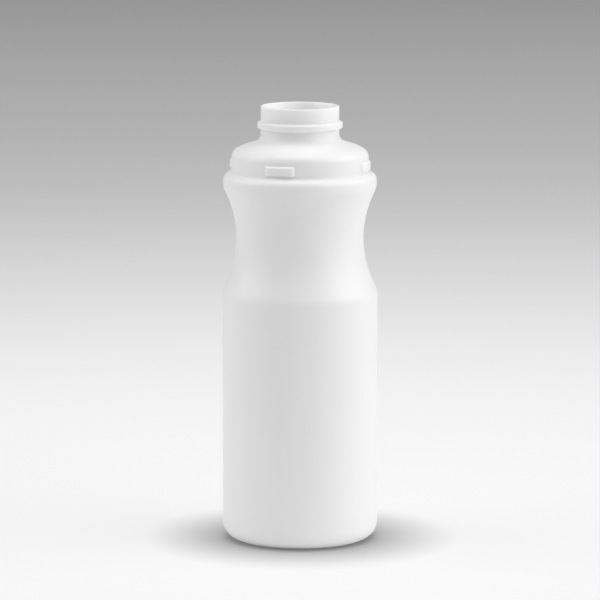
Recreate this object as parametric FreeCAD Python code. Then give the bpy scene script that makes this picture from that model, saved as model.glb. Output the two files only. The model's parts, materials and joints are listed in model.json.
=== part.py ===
"""Sponge applicator bottle: one blow-moulded HDPE bottle with a snap neck and four closure lugs.

Millimetres. The origin is the centre of the foot, on the surface the bottle stands on, and +Z runs up
the bottle's axis to its mouth. The bottle is blown in one piece, so the model is one solid.
"""
import FreeCAD, Part
import math
import os

from FreeCAD import Vector

# Driving dimensions: heights are measured up from the standing surface.
height = 140.35
body_radius = 25.0

foot_fillet = 5.3
foot_ring_radius = 18.2
foot_ring_fillet = 1.5
push_up = 2.2
push_up_radius = 13.5
push_up_fillet = 8.0

panel_top = 80.25
panel_top_fillet = 6.5
waist_vertex_radius = 17.6
waist_height = 98.05
waist_fillet = 33.0

ring_radius = 24.6
ring_bottom = 114.45
ring_top = 118.25
ring_bottom_fillet = 2.0
ring_top_fillet = 2.25
groove_radius = 22.2
groove_height = 119.2
groove_fillet = 0.8

shoulder_radius = 21.9
shoulder_top = 125.65
shoulder_fillet = 2.9
dome_radius = 19.1
dome_height = 127.3
dome_fillet = 8.0

neck_radius = 12.57
neck_root = 129.4
neck_root_fillet = 2.8
bore_radius = 10.8
flare_radius = 11.9
flare_depth = 2.5
flare_fillet = 1.0
lip_outer_fillet = 0.3
lip_inner_fillet = 0.2

bead_radius = 13.63
bead_bottom = 132.75
bead_top = 135.6
bead_lower_slope = 0.65
bead_upper_slope = 0.55
bead_edge_fillet = 0.2

lug_count = 4
lug_first_angle = -107.0
lug_crest_radius = 22.75
lug_crest_half_angle = 10.4
lug_base_half_angle = 12.85
lug_bottom = 120.25
lug_crest_top = 122.75
lug_root_top = 123.5
lug_edge_fillet = 0.25

pinch_off_length = 22.0
pinch_off_width = 0.6
pinch_off_depth = 0.5

side_wall = 1.0
base_wall = 1.4
root_depth = 0.25
axis_start = Vector(0, 0, 0)
axis_up = Vector(0, 0, 1)


def inset(corners, walls):
    """Move an outline's corners inwards, each side by its own wall, and keep concentric fillets."""
    sides = []
    for (r0, z0, _), (r1, z1, _), wall in zip(corners, corners[1:], walls):
        length = math.hypot(r1 - r0, z1 - z0)
        along = ((r1 - r0) / length, (z1 - z0) / length)
        sides.append((r0 - along[1] * wall, z0 + along[0] * wall, along))
    moved = []
    for (_, _, fillet), before, after, wall in zip(corners[1:], sides, sides[1:], walls[1:]):
        turn = before[2][0] * after[2][1] - before[2][1] * after[2][0]
        across = (after[0] - before[0]) * after[2][1] - (after[1] - before[1]) * after[2][0]
        r = before[0] + before[2][0] * across / turn
        z = before[1] + before[2][1] * across / turn
        inner_fillet = fillet - math.copysign(wall, turn)
        moved.append((r, z, max(inner_fillet, 0.0)))
    return moved


def outline_face(corners):
    """Close the corners (r, z, fillet) into one face in the XZ plane, with tangent arcs at fillets."""
    edges = []
    points = [Vector(r, 0, z) for r, z, _ in corners]
    start = points[0]
    count = len(corners)
    for i in range(1, count + 1):
        corner = points[i % count]
        fillet = corners[i % count][2]
        to_last = (points[i - 1] - corner).normalize()
        to_next = (points[(i + 1) % count] - corner).normalize()
        half = to_last.getAngle(to_next) / 2
        run_in = corner + to_last * (fillet / math.tan(half))
        edges.append(Part.LineSegment(start, run_in).toShape())
        start = run_in
        if fillet > 0:
            run_out = corner + to_next * (fillet / math.tan(half))
            middle = corner + (to_last + to_next).normalize() * (fillet / math.sin(half) - fillet)
            edges.append(Part.Arc(run_in, middle, run_out).toShape())
            start = run_out
    return Part.Face(Part.Wire(edges))


def polar(radius, angle, z):
    """Give the point at a radius and an angle in degrees about the bottle's axis."""
    return Vector(radius * math.cos(math.radians(angle)), radius * math.sin(math.radians(angle)), z)


def bottle_shell():
    """Revolve the wall's section: foot, panel, waist, ring, shoulder, dome, neck, lip and inside.

    The neck's wall is thicker than the body's, as its bore is sized by the blow pin, which also
    flares its mouth.
    """
    outside = [
        (0, push_up, 0),
        (push_up_radius, push_up, push_up_fillet),
        (foot_ring_radius, 0, foot_ring_fillet),
        (body_radius, 0, foot_fillet),
        (body_radius, panel_top, panel_top_fillet),
        (waist_vertex_radius, waist_height, waist_fillet),
        (ring_radius, ring_bottom, ring_bottom_fillet),
        (ring_radius, ring_top, ring_top_fillet),
        (groove_radius, groove_height, groove_fillet),
        (shoulder_radius, shoulder_top, shoulder_fillet),
        (dome_radius, dome_height, dome_fillet),
        (neck_radius, neck_root, neck_root_fillet),
        (neck_radius, height, lip_outer_fillet),
    ]
    base_sides = 3
    walls = [base_wall] * base_sides + [side_wall] * (len(outside) - 2 - base_sides)
    walls.append(neck_radius - bore_radius)
    inside = inset(outside, walls)
    mouth = [
        (flare_radius, height, lip_inner_fillet),
        (bore_radius, height - flare_depth, flare_fillet),
    ]
    section = outside + mouth + inside[::-1]
    section.append((0, push_up + base_wall, 0))
    return outline_face(section).revolve(axis_start, axis_up, 360)


def neck_bead():
    """Revolve the bead that a snap-on closure catches under, its root buried in the neck's wall."""
    root_radius = neck_radius - root_depth
    section = [
        (root_radius, bead_bottom, 0),
        (neck_radius, bead_bottom, 0),
        (bead_radius, bead_bottom + bead_lower_slope, bead_edge_fillet),
        (bead_radius, bead_top - bead_upper_slope, bead_edge_fillet),
        (neck_radius, bead_top, 0),
        (root_radius, bead_top, 0),
    ]
    return outline_face(section).revolve(axis_start, axis_up, 360)


def closure_lug(angle):
    """Make one shoulder lug: flat underside, ramped top, sloped ends, root buried in the wall."""
    root_radius = shoulder_radius - root_depth
    wall_radius = (groove_radius + shoulder_radius) / 2
    corners = []
    for side in (-1, 1):
        base = polar(wall_radius, angle + side * lug_base_half_angle, lug_bottom)
        crest = polar(lug_crest_radius, angle + side * lug_crest_half_angle, lug_bottom)
        past_both = [base + (base - crest), crest + (crest - base)]
        corners += past_both[::side]
    sloped_ends = Part.Face(Part.makePolygon(corners + corners[:1]))
    block = sloped_ends.extrude(axis_up * (lug_root_top - lug_bottom))
    section = [
        (root_radius, lug_bottom, 0),
        (lug_crest_radius, lug_bottom, lug_edge_fillet),
        (lug_crest_radius, lug_crest_top, lug_edge_fillet),
        (root_radius, lug_root_top, 0),
    ]
    return block.common(outline_face(section).revolve(axis_start, axis_up, 360))


def pinch_off():
    """Make the low ridge across the underside, where the mould nips the blown tube shut."""
    corner = Vector(-pinch_off_length / 2, -pinch_off_width / 2, push_up - pinch_off_depth)
    ridge = Part.makeBox(pinch_off_length, pinch_off_width, pinch_off_depth + root_depth, corner)
    return ridge.rotate(axis_start, axis_up, lug_first_angle + 90)


def bottle():
    """Join the bead, lugs and pinch-off to the shell, as they are blown in one piece with it."""
    lugs = [closure_lug(lug_first_angle + i * 360 / lug_count) for i in range(lug_count)]
    return bottle_shell().multiFuse([neck_bead(), pinch_off()] + lugs).removeSplitter().Solids[0]


if __name__ == "__main__":
    os.makedirs("parts", exist_ok=True)
    solid = bottle()
    print("bottle", solid.ShapeType, "valid", solid.isValid(), "solids", len(solid.Solids),
          "volume cm3", round(solid.Volume / 1000, 3), "box", solid.BoundBox)
    solid.exportStep("parts/bottle.step")
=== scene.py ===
import json
import logging
import math
from dataclasses import dataclass
from enum import Enum

import bmesh
import bpy
from mathutils import Matrix, Vector


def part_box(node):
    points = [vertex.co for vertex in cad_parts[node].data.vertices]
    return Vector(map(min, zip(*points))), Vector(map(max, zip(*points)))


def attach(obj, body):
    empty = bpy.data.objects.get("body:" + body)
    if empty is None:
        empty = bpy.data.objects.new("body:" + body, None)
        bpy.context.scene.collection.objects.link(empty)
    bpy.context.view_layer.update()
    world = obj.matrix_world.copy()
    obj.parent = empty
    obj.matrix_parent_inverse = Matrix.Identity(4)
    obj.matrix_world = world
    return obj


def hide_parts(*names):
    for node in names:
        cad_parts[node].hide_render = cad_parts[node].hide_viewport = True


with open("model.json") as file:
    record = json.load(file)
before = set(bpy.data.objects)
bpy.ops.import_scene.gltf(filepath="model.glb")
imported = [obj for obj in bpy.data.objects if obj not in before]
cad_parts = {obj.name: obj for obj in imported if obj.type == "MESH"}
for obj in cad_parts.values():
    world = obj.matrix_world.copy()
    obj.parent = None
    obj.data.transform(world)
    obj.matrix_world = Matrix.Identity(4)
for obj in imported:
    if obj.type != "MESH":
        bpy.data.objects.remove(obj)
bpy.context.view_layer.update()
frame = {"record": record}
NODE = "bottle"
BODY = "root"

MM = 0.001
MERGE_DISTANCE = 1e-4
BLACK = (0.0, 0.0, 0.0, 1.0)
WHITE = (1.0, 1.0, 1.0, 1.0)
LOG = logging.getLogger("sponge_applicator_bottle")


# ---------------------------------------------------------------- helpers

def polar(radius: float, angle: float, height: float = 0.0) -> Vector:
    """Give the point at a radius and an angle in degrees about the Z axis.

    Args:
        radius: the distance from the axis.
        angle: the angle from +X towards +Y, in degrees.
        height: the point's Z.

    Returns:
        The point.
    """
    turn = math.radians(angle)
    return Vector((radius * math.cos(turn), radius * math.sin(turn), height))


def degrees_apart(angle: float, other: float) -> float:
    """Give the signed turn from one angle to another, in degrees between -180 and 180."""
    return (other - angle + 180.0) % 360.0 - 180.0


def linear(hex_colour: str) -> tuple[float, float, float, float]:
    """Turn an sRGB hex colour into the linear colour that shaders take.

    Args:
        hex_colour: six hex digits, red first.

    Returns:
        Linear red, green and blue, and an alpha of 1.
    """
    parts = [int(hex_colour[i:i + 2], 16) / 255 for i in (0, 2, 4)]
    red, green, blue = (c / 12.92 if c <= 0.04045 else ((c + 0.055) / 1.055) ** 2.4 for c in parts)
    return red, green, blue, 1.0


def add_node(tree: bpy.types.NodeTree, kind: str, settings: dict, links: dict) -> bpy.types.Node:
    """Add a node with its settings, socket values and incoming links.

    Args:
        tree: the node tree that takes the node.
        kind: the node's type name.
        settings: property names, or input names or numbers, and their values.
        links: input names or numbers, and the output sockets that feed them.

    Returns:
        The new node.
    """
    node = tree.nodes.new(kind)
    for name, value in settings.items():
        if isinstance(name, str) and hasattr(node, name):
            setattr(node, name, value)
        else:
            node.inputs[name].default_value = value
    for name, output in links.items():
        tree.links.new(output, node.inputs[name])
    return node


def per_metre(size_mm: float) -> float:
    """Give the texture scale at which one feature of a pattern is as large as the size given."""
    return 1000.0 / size_mm


def mount(name: str) -> dict:
    """Find one of the record's mounts by its name."""
    return next(m for m in frame["record"]["mounts"] if m["name"] == name)


# ---------------------------------------------------------------- finishes

@dataclass(frozen=True)
class BlowMouldedHdpe:
    """White high-density polyethylene, blown against a fine-blasted mould: a soft satin skin.

    The wax-like plastic lets light a little way into its wall, which softens the edges' shade and
    the dark of the mouth. The tube it is blown from leaves very faint upright streaks. Blasted
    steel's grain is nearer 0.1 mm, and is drawn coarser here so that it shows.
    """

    body_hex: str = "F2F2F2"
    streak_hex: str = "F0F0F0"
    roughness: float = 0.42
    roughness_spread: float = 0.05
    refraction: float = 1.54
    scatter_share: float = 1.0
    scatter_depth_mm: float = 1.0
    blast_grain_mm: float = 0.45
    blast_depth_mm: float = 0.004
    ripple_mm: float = 9.0
    ripple_depth_mm: float = 0.03
    streak_width_mm: float = 4.0
    streak_length_mm: float = 90.0

    def material(self) -> bpy.types.Material:
        """Make the material from object coordinates, so that its grain has one real size all over.

        Returns:
            The material.
        """
        made = bpy.data.materials.new("hdpe_blow_moulded_satin_white")
        made.use_nodes = True
        tree = made.node_tree
        shader = tree.nodes["Principled BSDF"]
        place = add_node(tree, "ShaderNodeTexCoord", {}, {}).outputs["Object"]
        stretch = self.streak_width_mm / self.streak_length_mm
        upright = add_node(tree, "ShaderNodeMapping", {"Scale": (1.0, 1.0, stretch)}, {"Vector": place})
        streaks = add_node(tree, "ShaderNodeTexNoise",
                           {"Scale": per_metre(self.streak_width_mm), "Detail": 2.0, "Roughness": 0.5},
                           {"Vector": upright.outputs["Vector"]})
        colour = add_node(tree, "ShaderNodeMix",
                          {"data_type": "RGBA", 6: linear(self.body_hex), 7: linear(self.streak_hex)},
                          {0: streaks.outputs["Fac"]})
        tree.links.new(colour.outputs[2], shader.inputs["Base Color"])
        ripple = add_node(tree, "ShaderNodeTexNoise",
                          {"Scale": per_metre(self.ripple_mm), "Detail": 1.0}, {"Vector": place})
        sheen = add_node(tree, "ShaderNodeMapRange",
                         {"To Min": self.roughness - self.roughness_spread,
                          "To Max": self.roughness + self.roughness_spread},
                         {"Value": ripple.outputs["Fac"]})
        tree.links.new(sheen.outputs["Result"], shader.inputs["Roughness"])
        blast = add_node(tree, "ShaderNodeTexNoise",
                         {"Scale": per_metre(self.blast_grain_mm), "Detail": 2.0}, {"Vector": place})
        waves = add_node(tree, "ShaderNodeBump", {"Distance": self.ripple_depth_mm * MM},
                         {"Height": ripple.outputs["Fac"]})
        grain = add_node(tree, "ShaderNodeBump", {"Distance": self.blast_depth_mm * MM},
                         {"Height": blast.outputs["Fac"], "Normal": waves.outputs["Normal"]})
        tree.links.new(grain.outputs["Normal"], shader.inputs["Normal"])
        shader.inputs["IOR"].default_value = self.refraction
        shader.inputs["Subsurface Weight"].default_value = self.scatter_share
        shader.inputs["Subsurface Radius"].default_value = (1.0, 1.0, 1.0)
        shader.inputs["Subsurface Scale"].default_value = self.scatter_depth_mm * MM
        return made


@dataclass(frozen=True)
class SeamlessPaper:
    """Matt white studio paper, with a painted falloff of light: near white under the bottle, painted grey
    far behind it.

    Near the bottle, part of the paper's brightness is even and is seen by the camera, reflections
    and refractions alone, which keeps the lamps' broad shadows faint. They also see the paper shaded
    close under the foot. The light that the paper throws on the bottle stays as the lamps make it.
    """

    # The tones paint a falloff of light on the paper: brighter near the bottle, darker far behind it.
    painted_falloff_tones: tuple[tuple[float, str], ...] = (
        (0.00, "F1F1F1"), (0.25, "EFEFEF"), (0.50, "DDDDDD"), (0.80, "CACACA"), (1.20, "BFBFBF"),
        (2.30, "C1C1C1"))
    even_share: float = 0.65
    even_strength: float = 1.08
    even_full_within: float = 0.3
    even_none_beyond: float = 0.9
    contact_reach_mm: float = 28.0
    contact_samples: int = 16
    contact_share: float = 0.75
    contact_power: float = 2.0
    roughness: float = 0.9

    def material(self) -> bpy.types.Material:
        """Make the material from each point's distance to the floor's middle and the kind of ray.

        Returns:
            The material.
        """
        made = bpy.data.materials.new("paper_seamless_matt_white")
        made.use_nodes = True
        tree = made.node_tree
        shader = tree.nodes["Principled BSDF"]
        place = add_node(tree, "ShaderNodeTexCoord", {}, {})
        length = add_node(tree, "ShaderNodeVectorMath", {"operation": "LENGTH"},
                          {0: place.outputs["Object"]})
        distance = length.outputs["Value"]
        seen = self._seen(tree)
        # The paper's painted tone: the painted falloff of light, darkened under the foot by a painted
        # contact shadow.
        painted_tone = add_node(tree, "ShaderNodeMix", {"data_type": "RGBA", 7: BLACK},
                        {0: self._contact_shade(tree, seen), 6: self._painted_falloff(tree, distance)})
        near = add_node(tree, "ShaderNodeMapRange",
                        {"From Min": self.even_full_within, "From Max": self.even_none_beyond,
                         "To Min": self.even_share, "To Max": 0.0}, {"Value": distance})
        even = add_node(tree, "ShaderNodeMath", {"operation": "MULTIPLY"},
                        {0: near.outputs["Result"], 1: seen})
        lamplit = add_node(tree, "ShaderNodeMix", {"data_type": "RGBA", 7: BLACK},
                           {0: even.outputs["Value"], 6: painted_tone.outputs[2]})
        glow = add_node(tree, "ShaderNodeMath", {"operation": "MULTIPLY", 1: self.even_strength},
                        {0: even.outputs["Value"]})
        tree.links.new(lamplit.outputs[2], shader.inputs["Base Color"])
        tree.links.new(painted_tone.outputs[2], shader.inputs["Emission Color"])
        tree.links.new(glow.outputs["Value"], shader.inputs["Emission Strength"])
        shader.inputs["Roughness"].default_value = self.roughness
        shader.inputs["Specular IOR Level"].default_value = 0.0
        return made

    def _painted_falloff(self, tree: bpy.types.NodeTree, distance: bpy.types.NodeSocket) -> bpy.types.NodeSocket:
        """Give the paper's colour as a painted falloff of light, darker with the distance from the floor's
        middle.

        Args:
            tree: the material's node tree.
            distance: the socket that gives the distance, in metres.

        Returns:
            The socket that gives the colour.
        """
        reach = self.painted_falloff_tones[-1][0]
        share = add_node(tree, "ShaderNodeMapRange", {"From Max": reach}, {"Value": distance})
        ramp = add_node(tree, "ShaderNodeValToRGB", {}, {"Fac": share.outputs["Result"]})
        stops = ramp.color_ramp.elements
        stops[0].color = linear(self.painted_falloff_tones[0][1])
        stops[1].color = linear(self.painted_falloff_tones[-1][1])
        for metres, painted_tone in self.painted_falloff_tones[1:-1]:
            stops.new(metres / reach).color = linear(painted_tone)
        ramp.color_ramp.interpolation = "B_SPLINE"
        return ramp.outputs["Color"]

    def _seen(self, tree: bpy.types.NodeTree) -> bpy.types.NodeSocket:
        """Give 1 for a ray by which the picture shows the paper, and 0 for one that lights things.

        Args:
            tree: the material's node tree.

        Returns:
            The socket that gives 1 or 0.
        """
        ray = add_node(tree, "ShaderNodeLightPath", {}, {})
        direct = add_node(tree, "ShaderNodeMath", {"operation": "ADD"},
                          {0: ray.outputs["Is Camera Ray"], 1: ray.outputs["Is Glossy Ray"]})
        seen = add_node(tree, "ShaderNodeMath", {"operation": "ADD", "use_clamp": True},
                        {0: direct.outputs["Value"], 1: ray.outputs["Is Transmission Ray"]})
        return seen.outputs["Value"]

    def _contact_shade(self, tree: bpy.types.NodeTree, seen: bpy.types.NodeSocket) -> bpy.types.NodeSocket:
        """Give the share of the paper's brightness that is lost close under the foot.

        Args:
            tree: the material's node tree.
            seen: the socket that gives 1 where the picture shows the paper.

        Returns:
            The socket that gives the share.
        """
        clear = add_node(tree, "ShaderNodeAmbientOcclusion",
                         {"Distance": self.contact_reach_mm * MM, "samples": self.contact_samples}, {})
        lit = add_node(tree, "ShaderNodeMath", {"operation": "POWER", 1: self.contact_power},
                       {0: clear.outputs["AO"]})
        hidden = add_node(tree, "ShaderNodeMath", {"operation": "SUBTRACT", 0: 1.0},
                          {1: lit.outputs["Value"]})
        most = add_node(tree, "ShaderNodeMath", {"operation": "MULTIPLY", 1: self.contact_share},
                        {0: seen})
        shade = add_node(tree, "ShaderNodeMath", {"operation": "MULTIPLY"},
                         {0: hidden.outputs["Value"], 1: most.outputs["Value"]})
        return shade.outputs["Value"]


# ---------------------------------------------------------------- the bottle

@dataclass(frozen=True)
class Corner:
    """One corner of an outline that turns about the bottle's axis, in millimetres."""

    radius: float
    height: float
    fillet: float = 0.0

    @property
    def point(self) -> Vector:
        """Give the corner's place in the XZ plane."""
        return Vector((self.radius, 0.0, self.height))


def inset(corners: list[Corner], walls: list[float]) -> list[Corner]:
    """Move an outline's corners inwards, each side by its own wall, and keep fillets concentric.

    Args:
        corners: the outline's corners, in order.
        walls: the wall behind each of the outline's sides.

    Returns:
        The inner outline's corners, without its two ends.
    """
    sides = []
    for start, end, wall in zip(corners, corners[1:], walls):
        along = (end.point - start.point).normalized()
        sides.append((start.point + Vector((-along.z, 0.0, along.x)) * wall, along))
    moved = []
    for corner, (start, before), (end, after), wall in zip(corners[1:], sides, sides[1:], walls[1:]):
        turn = before.x * after.z - before.z * after.x
        reach = ((end.x - start.x) * after.z - (end.z - start.z) * after.x) / turn
        met = start + before * reach
        moved.append(Corner(met.x, met.z, max(corner.fillet - math.copysign(wall, turn), 0.0)))
    return moved


@dataclass
class OutlinePen:
    """Draws an outline's straight runs and tangent arcs as bare edges of a mesh."""

    longest_run: float = 3.0
    longest_arc_step: float = 1.2
    widest_arc_turn: float = math.radians(9.0)

    def draw(self, bm: bmesh.types.BMesh, corners: list[Corner]) -> None:
        """Draw an open outline in the XZ plane.

        Args:
            bm: the mesh that takes the outline.
            corners: the outline's corners, in order.
        """
        tip = bm.verts.new(corners[0].point)
        for last, corner, following in zip(corners, corners[1:], corners[2:]):
            to_last = (last.point - corner.point).normalized()
            to_next = (following.point - corner.point).normalized()
            half = to_last.angle(to_next) / 2
            tip = self._run(bm, tip, corner.point + to_last * (corner.fillet / math.tan(half)))
            if corner.fillet > 0:
                centre = corner.point + (to_last + to_next).normalized() * (corner.fillet / math.sin(half))
                turn = math.copysign(math.pi - 2 * half, to_next.cross(to_last).y)
                tip = self._arc(bm, tip, centre, turn, corner.fillet)
        self._run(bm, tip, corners[-1].point)

    def _run(self, bm: bmesh.types.BMesh, tip: bmesh.types.BMVert, end: Vector) -> bmesh.types.BMVert:
        """Draw a straight run from the last vertex in short edges.

        Args:
            bm: the mesh that takes the run.
            tip: the vertex that the run starts at.
            end: the point that the run ends at.

        Returns:
            The run's last vertex.
        """
        length = (end - tip.co).length
        if length < MERGE_DISTANCE:
            return tip
        steps = math.ceil(length / self.longest_run)
        step = (end - tip.co) / steps
        for _ in range(steps):
            tip = bmesh.ops.extrude_vert_indiv(bm, verts=[tip])["verts"][0]
            tip.co += step
        return tip

    def _arc(self, bm: bmesh.types.BMesh, tip: bmesh.types.BMVert, centre: Vector, turn: float,
             radius: float) -> bmesh.types.BMVert:
        """Spin the last vertex about an arc's centre.

        Args:
            bm: the mesh that takes the arc.
            tip: the vertex that the arc starts at.
            centre: the arc's centre.
            turn: the arc's signed angle about +Y, in radians.
            radius: the arc's radius.

        Returns:
            The arc's last vertex.
        """
        steps = math.ceil(max(abs(turn) / self.widest_arc_turn, abs(turn) * radius / self.longest_arc_step))
        made = bmesh.ops.spin(bm, geom=[tip], cent=centre, axis=(0.0, 1.0, 0.0), angle=turn, steps=steps)
        return next(part for part in made["geom_last"] if isinstance(part, bmesh.types.BMVert))


@dataclass
class BlownBottle:
    """The whole bottle, blown in one piece: every size is in millimetres, heights from the foot.

    The body's radius, the height and the neck's two radii come from the frame. The lugs stand on
    mesh lines: each takes lug_segments of the segments_per_quarter that lie between two lugs.
    """

    foot_fillet: float = 5.3
    foot_ring_radius: float = 18.2
    foot_ring_fillet: float = 1.5
    push_up: float = 2.2
    push_up_flat_radius: float = 11.5
    push_up_radius: float = 13.5
    push_up_fillet: float = 8.0

    panel_top: float = 80.25
    panel_top_fillet: float = 6.5
    waist_vertex_radius: float = 17.6
    waist_height: float = 98.05
    waist_fillet: float = 33.0

    ring_radius: float = 24.6
    ring_bottom: float = 114.45
    ring_top: float = 118.25
    ring_bottom_fillet: float = 2.0
    ring_top_fillet: float = 2.25
    groove_radius: float = 22.2
    groove_height: float = 119.2
    groove_fillet: float = 0.8

    shoulder_radius: float = 21.9
    shoulder_top: float = 125.65
    shoulder_fillet: float = 2.9
    dome_radius: float = 19.1
    dome_height: float = 127.3
    dome_fillet: float = 8.0
    neck_root: float = 129.4
    neck_root_fillet: float = 2.8
    flare_radius: float = 11.9
    flare_depth: float = 2.5
    flare_fillet: float = 1.0
    lip_outer_fillet: float = 0.3
    lip_inner_fillet: float = 0.2

    bead_radius: float = 13.63
    bead_bottom: float = 132.75
    bead_top: float = 135.6
    bead_lower_slope: float = 0.65
    bead_upper_slope: float = 0.55
    bead_edge_fillet: float = 0.2

    lug_count: int = 4
    lug_first_angle: float = -107.0
    lug_crest_radius: float = 22.75
    lug_crest_half_angle: float = 10.4
    lug_bottom: float = 120.25
    lug_crest_top: float = 122.75
    lug_top: float = 123.2
    lug_edge_round: float = 0.25
    lug_corner_turn: float = math.radians(30.0)
    lug_segments: int = 12
    segments_per_quarter: int = 42

    pinch_off_length: float = 22.0
    pinch_off_width: float = 0.6
    pinch_off_depth: float = 0.5
    pinch_off_edge_round: float = 0.12
    edge_round_segments: int = 4

    parting_line_half_width: float = 0.18
    parting_line_rise: float = 0.05
    parting_line_bottom: float = 0.4
    parting_line_top: float = 138.5

    side_wall: float = 1.0
    base_wall: float = 1.4
    sharp_edge_angle: float = math.radians(25.0)
    finish: BlowMouldedHdpe = BlowMouldedHdpe()

    def __post_init__(self) -> None:
        """Take the sizes that the frame settles."""
        _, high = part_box(NODE)
        self.height = high[2] / MM
        self.body_radius = high[1] / MM
        self.neck_radius = mount("neck_outside")["dims"]["r_mm"]
        self.bore_radius = mount("neck_bore")["dims"]["r_mm"]
        self.segments = self.lug_count * self.segments_per_quarter
        self.lug_half_angle = 180.0 * self.lug_segments / self.segments

    def plain_outline(self) -> list[Corner]:
        """List the outside's corners from the flat under the base to the lip, with no bead or lug."""
        return [*self._body(), *self._shoulder(), self._lip()]

    def outside(self) -> list[Corner]:
        """List the outside's corners with the bead, and with a corner at each height the lugs need.

        Returns:
            The corners, from the flat under the base to the middle of the lip's top.
        """
        groove, shoulder, dome, neck_root = self._shoulder()
        slope = (shoulder.radius - groove.radius) / (shoulder.height - groove.height)
        lug_lines = [Corner(groove.radius + slope * (height - groove.height), height)
                     for height in (self.lug_bottom, self.lug_top)]
        return [*self._body(), groove, *lug_lines, shoulder, dome, neck_root, *self._bead(), self._lip(),
                self._lip_middle()]

    def inside(self) -> list[Corner]:
        """List the inside's corners, each side set in from the outside's by its own wall.

        Returns:
            The corners, from the middle of the lip's top down to the flat on the bottle's floor.
        """
        plain = self.plain_outline()
        base_sides = 3
        upper_sides = len(plain) - 2 - base_sides
        neck_wall = self.neck_radius - self.bore_radius
        walls = [self.base_wall] * base_sides + [self.side_wall] * upper_sides + [neck_wall]
        lip = Corner(self.flare_radius, self.height, self.lip_inner_fillet)
        flare_end = Corner(self.bore_radius, self.height - self.flare_depth, self.flare_fillet)
        floor = Corner(self.push_up_flat_radius, self.push_up + self.base_wall)
        return [self._lip_middle(), lip, flare_end] + inset(plain, walls)[::-1] + [floor]

    def _body(self) -> list[Corner]:
        """List the corners of the foot, the panel, the waist and the ring.

        Returns:
            The corners, from the flat under the base to the top of the ring.
        """
        return [
            Corner(self.push_up_flat_radius, self.push_up),
            Corner(self.push_up_radius, self.push_up, self.push_up_fillet),
            Corner(self.foot_ring_radius, 0.0, self.foot_ring_fillet),
            Corner(self.body_radius, 0.0, self.foot_fillet),
            Corner(self.body_radius, self.panel_top, self.panel_top_fillet),
            Corner(self.waist_vertex_radius, self.waist_height, self.waist_fillet),
            Corner(self.ring_radius, self.ring_bottom, self.ring_bottom_fillet),
            Corner(self.ring_radius, self.ring_top, self.ring_top_fillet),
        ]

    def _shoulder(self) -> list[Corner]:
        """List the corners of the groove, the shoulder, the dome and the neck's root.

        Returns:
            The corners, from the groove over the ring to the root of the neck.
        """
        return [
            Corner(self.groove_radius, self.groove_height, self.groove_fillet),
            Corner(self.shoulder_radius, self.shoulder_top, self.shoulder_fillet),
            Corner(self.dome_radius, self.dome_height, self.dome_fillet),
            Corner(self.neck_radius, self.neck_root, self.neck_root_fillet),
        ]

    def _bead(self) -> list[Corner]:
        """List the corners of the bead that a snap-on closure catches under.

        Returns:
            The corners, from the bead's lower side to its upper side.
        """
        return [
            Corner(self.neck_radius, self.bead_bottom),
            Corner(self.bead_radius, self.bead_bottom + self.bead_lower_slope, self.bead_edge_fillet),
            Corner(self.bead_radius, self.bead_top - self.bead_upper_slope, self.bead_edge_fillet),
            Corner(self.neck_radius, self.bead_top),
        ]

    def _lip(self) -> Corner:
        """Give the outer corner of the lip."""
        return Corner(self.neck_radius, self.height, self.lip_outer_fillet)

    def _lip_middle(self) -> Corner:
        """Give the middle of the lip's top."""
        return Corner((self.neck_radius + self.flare_radius) / 2, self.height)

    def _revolve(self, bm: bmesh.types.BMesh, corners: list[Corner]) -> None:
        """Spin an outline once about the axis, starting at a lug's edge, and close its flat end.

        Args:
            bm: the mesh that takes the surface.
            corners: the outline's corners.
        """
        drawn = bmesh.new()
        OutlinePen().draw(drawn, corners)
        start = Matrix.Rotation(math.radians(self.lug_first_angle - self.lug_half_angle), 3, "Z")
        bmesh.ops.rotate(drawn, verts=drawn.verts, cent=(0.0, 0.0, 0.0), matrix=start)
        bmesh.ops.spin(drawn, geom=drawn.verts[:] + drawn.edges[:], cent=(0.0, 0.0, 0.0),
                       axis=(0.0, 0.0, 1.0), angle=2 * math.pi, steps=self.segments, use_merge=True)
        rim = [e for e in drawn.edges if e.is_boundary and all(
            abs(v.co.xy.length - self.push_up_flat_radius) < MERGE_DISTANCE for v in e.verts)]
        bmesh.ops.edgeloop_fill(drawn, edges=rim)
        surface = bpy.data.meshes.new("surface")
        drawn.to_mesh(surface)
        drawn.free()
        bm.from_mesh(surface)
        bpy.data.meshes.remove(surface)

    def _raise_lug(self, bm: bmesh.types.BMesh, angle: float) -> None:
        """Raise one closure lug from the shoulder's wall: flat underside, ramped top, sloped ends.

        Args:
            bm: the outside's mesh.
            angle: the lug's middle, in degrees.
        """
        footprint = [face for face in bm.faces if self._is_in_footprint(face, angle)]
        raised = bmesh.ops.extrude_face_region(bm, geom=footprint)["geom"]
        bmesh.ops.delete(bm, geom=footprint, context="FACES")
        narrowing = self.lug_crest_half_angle / self.lug_half_angle
        lowering = (self.lug_crest_top - self.lug_bottom) / (self.lug_top - self.lug_bottom)
        for vert in (part for part in raised if isinstance(part, bmesh.types.BMVert)):
            offset = degrees_apart(angle, math.degrees(math.atan2(vert.co.y, vert.co.x)))
            height = self.lug_bottom + (vert.co.z - self.lug_bottom) * lowering
            vert.co = polar(self.lug_crest_radius, angle + offset * narrowing, height)
        crest = {part for part in raised if isinstance(part, bmesh.types.BMFace)}
        rim = {e for f in crest for e in f.edges if any(g not in crest for g in e.link_faces)}
        sides = {f for e in rim for f in e.link_faces if f not in crest}
        between_sides = {e for f in sides for e in f.edges
                         if e not in rim and sum(g in sides for g in e.link_faces) == 2}
        corners = {e for e in between_sides if e.calc_face_angle() > self.lug_corner_turn}
        self._round(bm, list(rim | corners), self.lug_edge_round)

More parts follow.
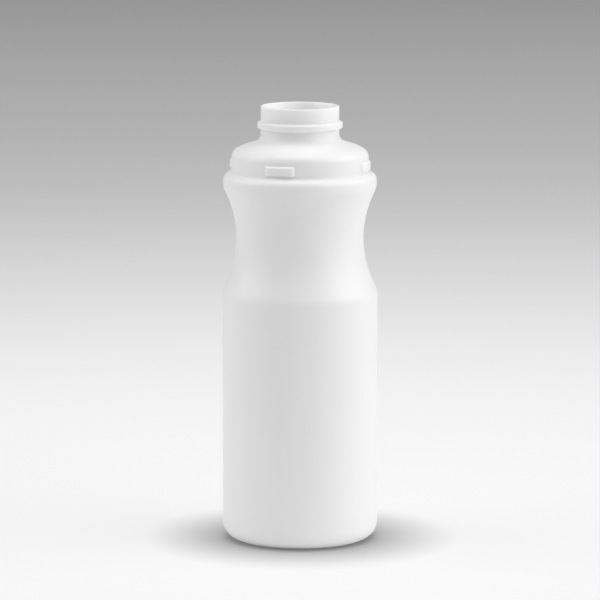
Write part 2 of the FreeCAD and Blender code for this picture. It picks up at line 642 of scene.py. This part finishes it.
    def _is_in_footprint(self, face: bmesh.types.BMFace, angle: float) -> bool:
        """Tell whether a face of the shoulder lies where a lug stands.

        Args:
            face: a face of the outside.
            angle: the lug's middle, in degrees.

        Returns:
            True inside the lug's outline.
        """
        middle = face.calc_center_median()
        around = math.degrees(math.atan2(middle.y, middle.x))
        return (self.lug_bottom < middle.z < self.lug_top
                and abs(degrees_apart(angle, around)) < self.lug_half_angle)

    def _round(self, bm: bmesh.types.BMesh, edges: list[bmesh.types.BMEdge], size: float) -> None:
        """Round edges off, as a mould's cut corners leave them.

        Args:
            bm: the mesh.
            edges: the edges to round.
            size: how far the round reaches from each edge.
        """
        bmesh.ops.bevel(bm, geom=edges, offset=size, segments=self.edge_round_segments, profile=0.5,
                        affect="EDGES", material=-1, clamp_overlap=True)

    def _raise_pinch_off(self, bm: bmesh.types.BMesh) -> None:
        """Raise the low ridge across the underside, where the mould nips the blown tube shut.

        Args:
            bm: the outside's mesh.
        """
        along = polar(1.0, self.lug_first_angle + 90)
        across = polar(1.0, self.lug_first_angle)
        half_length, half_width = self.pinch_off_length / 2, self.pinch_off_width / 2
        for normal, reach in ((along, half_length), (across, half_width)):
            for side in (-reach, reach):
                flat = [f for f in bm.faces if self._is_under_flat(f)]
                parts = {p for f in flat for p in [f, *f.edges, *f.verts]}
                bmesh.ops.bisect_plane(bm, geom=list(parts), dist=MERGE_DISTANCE,
                                       plane_co=normal * side, plane_no=normal)
        strip = []
        for face in filter(self._is_under_flat, bm.faces):
            middle = face.calc_center_bounds()
            if abs(middle.dot(along)) < half_length and abs(middle.dot(across)) < half_width:
                strip.append(face)
        raised = bmesh.ops.extrude_face_region(bm, geom=strip)["geom"]
        bmesh.ops.delete(bm, geom=strip, context="FACES")
        bmesh.ops.translate(bm, vec=(0.0, 0.0, -self.pinch_off_depth),
                            verts=[part for part in raised if isinstance(part, bmesh.types.BMVert)])
        crest = [part for part in raised if isinstance(part, bmesh.types.BMFace)]
        self._round(bm, [e for f in crest for e in f.edges], self.pinch_off_edge_round)

    def _is_under_flat(self, face: bmesh.types.BMFace) -> bool:
        """Tell whether a face lies in the flat under the base."""
        return all(abs(v.co.z - self.push_up) < MERGE_DISTANCE
                   and v.co.xy.length < self.push_up_flat_radius + MERGE_DISTANCE for v in face.verts)

    def _raise_parting_line(self, bm: bmesh.types.BMesh) -> None:
        """Raise the hair-fine line that the two mould halves leave up both sides.

        Args:
            bm: the outside's mesh.
        """
        across = polar(1.0, self.lug_first_angle)
        seam = [e for e in bm.edges if all(self._is_on_parting(v, across) for v in e.verts)]
        bmesh.ops.bevel(bm, geom=seam, offset=self.parting_line_half_width, segments=2, profile=0.5,
                        affect="EDGES", material=-1, clamp_overlap=True)
        bm.normal_update()
        for vert in [v for v in bm.verts if self._is_on_parting(v, across)]:
            vert.co += Vector((vert.normal.x, vert.normal.y, 0.0)) * self.parting_line_rise

    def _is_on_parting(self, vert: bmesh.types.BMVert, across: Vector) -> bool:
        """Tell whether a vertex of the outside lies on the mould's parting plane."""
        return (abs(vert.co.dot(across)) < MERGE_DISTANCE and vert.co.xy.length > self.push_up_flat_radius
                and self.parting_line_bottom < vert.co.z < self.parting_line_top)

    def build(self) -> bpy.types.Object:
        """Make the bottle's mesh, and close it at the lip.

        Returns:
            The finished piece, with no material yet.
        """
        bm = bmesh.new()
        self._revolve(bm, self.outside())
        for i in range(self.lug_count):
            self._raise_lug(bm, self.lug_first_angle + i * 360.0 / self.lug_count)
        self._raise_pinch_off(bm)
        self._raise_parting_line(bm)
        self._revolve(bm, self.inside())
        bmesh.ops.remove_doubles(bm, verts=bm.verts, dist=MERGE_DISTANCE)
        bmesh.ops.recalc_face_normals(bm, faces=bm.faces)
        bmesh.ops.scale(bm, vec=(MM, MM, MM), verts=bm.verts)
        for face in bm.faces:
            face.smooth = True
        for edge in bm.edges:
            edge.smooth = edge.calc_face_angle() < self.sharp_edge_angle
        mesh = bpy.data.meshes.new("blown_bottle")
        bm.to_mesh(mesh)
        bm.free()
        piece = bpy.data.objects.new("blown_bottle", mesh)
        bpy.context.scene.collection.objects.link(piece)
        return piece

    def dress(self, piece: bpy.types.Object) -> None:
        """Give the piece its plastic, and let it stand for the CAD bottle.

        Args:
            piece: the bottle's mesh object.
        """
        piece.data.materials.append(self.finish.material())
        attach(piece, BODY)
        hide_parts(NODE)


# ---------------------------------------------------------------- the studio

class Station(Enum):
    """Where a softbox stands: its azimuth from the camera's side and its elevation, in degrees."""

    RIGHT = (90.0, 30.0)
    FRONT_RIGHT = (60.0, 30.0)
    LEFT = (-90.0, 30.0)
    ABOVE = (0.0, 89.0)


@dataclass
class Softbox:
    """A square studio softbox that faces the bottle, its sizes in metres."""

    station: Station
    watts: float
    distance: float = 2.5
    side: float = 2.2

    def build(self, aim: Vector) -> bpy.types.Object:
        """Make the lamp and turn it to the point it lights.

        Args:
            aim: the point, in metres.

        Returns:
            The lamp.
        """
        name = "softbox_" + self.station.name.lower()
        lamp = bpy.data.lights.new(name, "AREA")
        lamp.shape = "SQUARE"
        lamp.size = self.side
        lamp.energy = self.watts
        azimuth, elevation = self.station.value
        flat = math.cos(math.radians(elevation))
        back = polar(flat, azimuth - 90.0, math.sin(math.radians(elevation)))
        stand = bpy.data.objects.new(name, lamp)
        stand.location = aim + back * self.distance
        stand.rotation_euler = back.to_track_quat("Z", "Y").to_euler()
        stand.visible_camera = False
        bpy.context.scene.collection.objects.link(stand)
        return stand


@dataclass
class Studio:
    """The floor, the lights and the camera round the bottle, in metres where not named otherwise."""

    floor_radius: float = 7.0
    floor_segments: int = 96
    floor_gap_mm: float = 0.05
    ambient: float = 0.285
    lens_mm: float = 240.0
    sensor_mm: float = 36.0
    camera_distance: float = 1.2882
    camera_pitch: float = 8.74
    aim_height: float = 0.07747
    paper: SeamlessPaper = SeamlessPaper()
    softboxes: tuple[Softbox, ...] = (
        Softbox(Station.RIGHT, watts=24.0),
        Softbox(Station.FRONT_RIGHT, watts=20.6),
        Softbox(Station.LEFT, watts=26.6),
        Softbox(Station.ABOVE, watts=24.8),
    )

    def build_floor(self) -> bpy.types.Object:
        """Make the round sheet of paper that the bottle stands on.

        Returns:
            The sheet.
        """
        bm = bmesh.new()
        bmesh.ops.create_circle(bm, cap_ends=True, segments=self.floor_segments, radius=self.floor_radius)
        bmesh.ops.translate(bm, verts=bm.verts, vec=(0.0, 0.0, -self.floor_gap_mm * MM))
        bmesh.ops.recalc_face_normals(bm, faces=bm.faces)
        mesh = bpy.data.meshes.new("floor")
        bm.to_mesh(mesh)
        bm.free()
        floor = bpy.data.objects.new("floor", mesh)
        floor.data.materials.append(self.paper.material())
        bpy.context.scene.collection.objects.link(floor)
        return floor

    def light_room(self) -> None:
        """Fill the room with even white light."""
        world = bpy.data.worlds.new("studio_room")
        world.use_nodes = True
        tree = world.node_tree
        tree.nodes.clear()
        fill = add_node(tree, "ShaderNodeBackground",
                        {"Color": WHITE, "Strength": self.ambient}, {})
        add_node(tree, "ShaderNodeOutputWorld", {}, {"Surface": fill.outputs["Background"]})
        bpy.context.scene.world = world

    def build_camera(self) -> bpy.types.Object:
        """Stand the long-lens camera in front of the bottle, a little above it and looking down.

        Returns:
            The camera.
        """
        lens = bpy.data.cameras.new("camera")
        lens.lens = self.lens_mm
        lens.sensor_width = self.sensor_mm
        camera = bpy.data.objects.new("camera", lens)
        pitch = math.radians(self.camera_pitch)
        back = Vector((0.0, -math.cos(pitch), math.sin(pitch)))
        camera.location = Vector((0.0, 0.0, self.aim_height)) + back * self.camera_distance
        camera.rotation_euler = back.to_track_quat("Z", "Y").to_euler()
        bpy.context.scene.collection.objects.link(camera)
        bpy.context.scene.camera = camera
        return camera

    def build(self) -> None:
        """Set up the floor, the room's light, the softboxes and the camera."""
        self.build_floor()
        self.light_room()
        for softbox in self.softboxes:
            softbox.build(Vector((0.0, 0.0, self.aim_height)))
        self.build_camera()
        bpy.context.scene.view_settings.view_transform = "Standard"


def main() -> None:
    """Build the bottle and the studio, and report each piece."""
    logging.basicConfig(level=logging.INFO, format="%(name)s: %(message)s")
    bottle = BlownBottle()
    piece = bottle.build()
    bottle.dress(piece)
    LOG.info("%s: %d faces", piece.name, len(piece.data.polygons))
    Studio().build()


if __name__ == "__main__":
    main()
